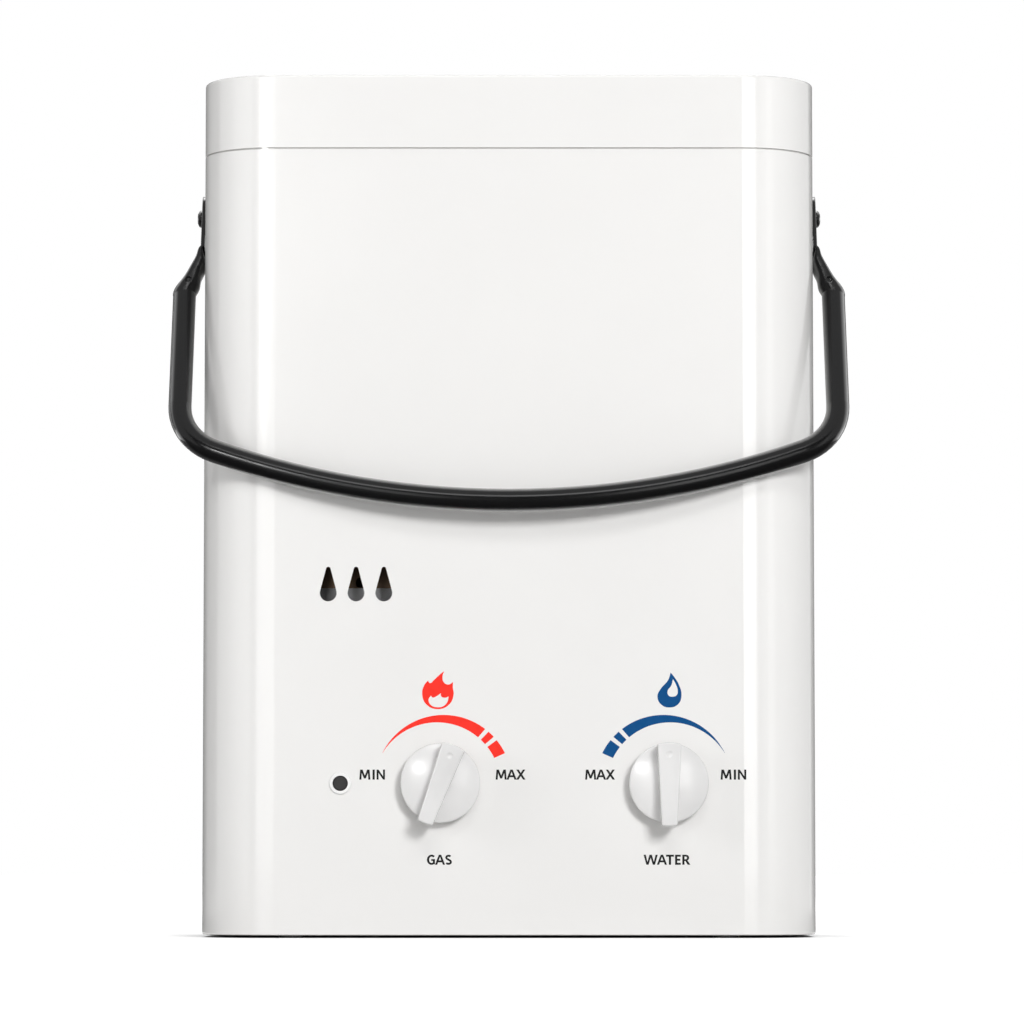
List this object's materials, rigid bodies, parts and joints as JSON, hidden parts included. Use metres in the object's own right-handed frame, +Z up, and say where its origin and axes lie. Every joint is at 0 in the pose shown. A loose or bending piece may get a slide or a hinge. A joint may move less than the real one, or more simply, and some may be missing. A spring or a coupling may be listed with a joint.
{
  "type": "portable propane water heater",
  "caption": "Portable gas water heater: white steel case with rounded front corners, carrying bail, gas and water knobs, sight holes, recessed hose fittings.",
  "frame": {"origin": "on the floor, under the middle of the overall box with the bail hanging", "axes": "+X to the right seen from the front, +Y from the front panel to the back, +Z up"},
  "size_m": [0.3322, 0.1482, 0.4196],
  "materials": {
    "case_white": "gloss white powder coat",
    "knob_white": "gloss moulded plastic",
    "bezel_white": "gloss moulded plastic",
    "button_dark": "satin moulded plastic",
    "bail_black": "satin black powder coat",
    "nylon_black": "moulded nylon",
    "rubber_black": "moulded rubber",
    "plastic_black": "moulded plastic",
    "galvanised": "galvanised sheet",
    "stainless": "brushed stainless sheet",
    "zinc_steel": "zinc plated",
    "copper": "heat-tinted copper",
    "brass": "machined brass",
    "cast_aluminium": "die-cast aluminium",
    "ceramic_white": "unglazed ceramic",
    "cell_jacket": "printed film jacket without lettering",
    "print_red": "screen-printed ink",
    "print_blue": "screen-printed ink",
    "print_grey": "screen-printed ink"
  },
  "bodies": {
    "case": {"front_cover": "case_white", "top_cap": "case_white", "exhaust_grille": "stainless", "back_plate": "galvanised", "wall_hanger": "galvanised", "base_plate": "galvanised", "feet": "rubber_black", "case_screws": "zinc_steel", "bail_screws": "bail_black", "bail_washers": "nylon_black", "bail_nuts": "zinc_steel", "button_bezel": "bezel_white", "switch_body": "plastic_black", "gas_valve_body": "cast_aluminium", "gas_valve_cover": "cast_aluminium", "solenoid": "zinc_steel", "gas_inlet_fitting": "brass", "hot_outlet_fitting": "brass", "cold_inlet_fitting": "brass", "fitting_nuts": "brass", "gas_manifold": "cast_aluminium", "injectors": "brass", "burner_box": "galvanised", "burner_bars": "stainless", "electrode_bracket": "galvanised", "spark_electrode": "ceramic_white", "flame_sensor": "ceramic_white", "combustion_chamber": "copper", "fin_pack": "copper", "exchanger_tubes": "copper", "chamber_coil": "copper", "cold_pipe": "copper", "hot_pipe": "copper", "flue_hood": "galvanised", "thermal_cutout": "plastic_black", "chamber_stays": "galvanised", "water_valve_body": "brass", "diaphragm": "rubber_black", "diaphragm_cover": "brass", "valve_screws": "zinc_steel", "micro_switch": "plastic_black", "drain_plug": "brass", "battery_box": "plastic_black", "battery_cells": "cell_jacket", "battery_contacts": "zinc_steel", "igniter_box": "plastic_black"},
    "carry_bail": {"bail": "bail_black"},
    "gas_control": {"gas_knob": "knob_white", "gas_spindle": "zinc_steel"},
    "water_control": {"water_knob": "knob_white", "water_spindle": "zinc_steel"},
    "power_button": {"button_cap": "button_dark"},
    "valve_rod": {"push_rod": "brass"},
    "battery_hatch": {"battery_door": "plastic_black"}
  },
  "joints": [
    {"name": "bail_swing", "type": "hinge", "parent": "case", "child": "carry_bail", "pos_m": [0, 0.00607, 0.3564], "axis": [-1, 0, 0], "range_deg": [0, 297]},
    {"name": "gas_knob_turn", "type": "hinge", "parent": "case", "child": "gas_control", "pos_m": [-0.033, -0.05393, 0.0745], "axis": [0, 1, 0], "range_deg": [-83.4, 45.6]},
    {"name": "water_knob_turn", "type": "hinge", "parent": "case", "child": "water_control", "pos_m": [0.077, -0.05393, 0.0745], "axis": [0, 1, 0], "range_deg": [-66, 63]},
    {"name": "button_press", "type": "slide", "parent": "case", "child": "power_button", "axis": [0, 1, 0], "range_m": [0, 0.0015], "stiffness_N_per_m": 600},
    {"name": "rod_slide", "type": "slide", "parent": "case", "child": "valve_rod", "axis": [-1, 0, 0], "range_m": [0, 0.004], "stiffness_N_per_m": 400},
    {"name": "battery_door_slide", "type": "slide", "parent": "case", "child": "battery_hatch", "axis": [0, -1, 0], "range_m": [0, 0.038]}
  ]
}
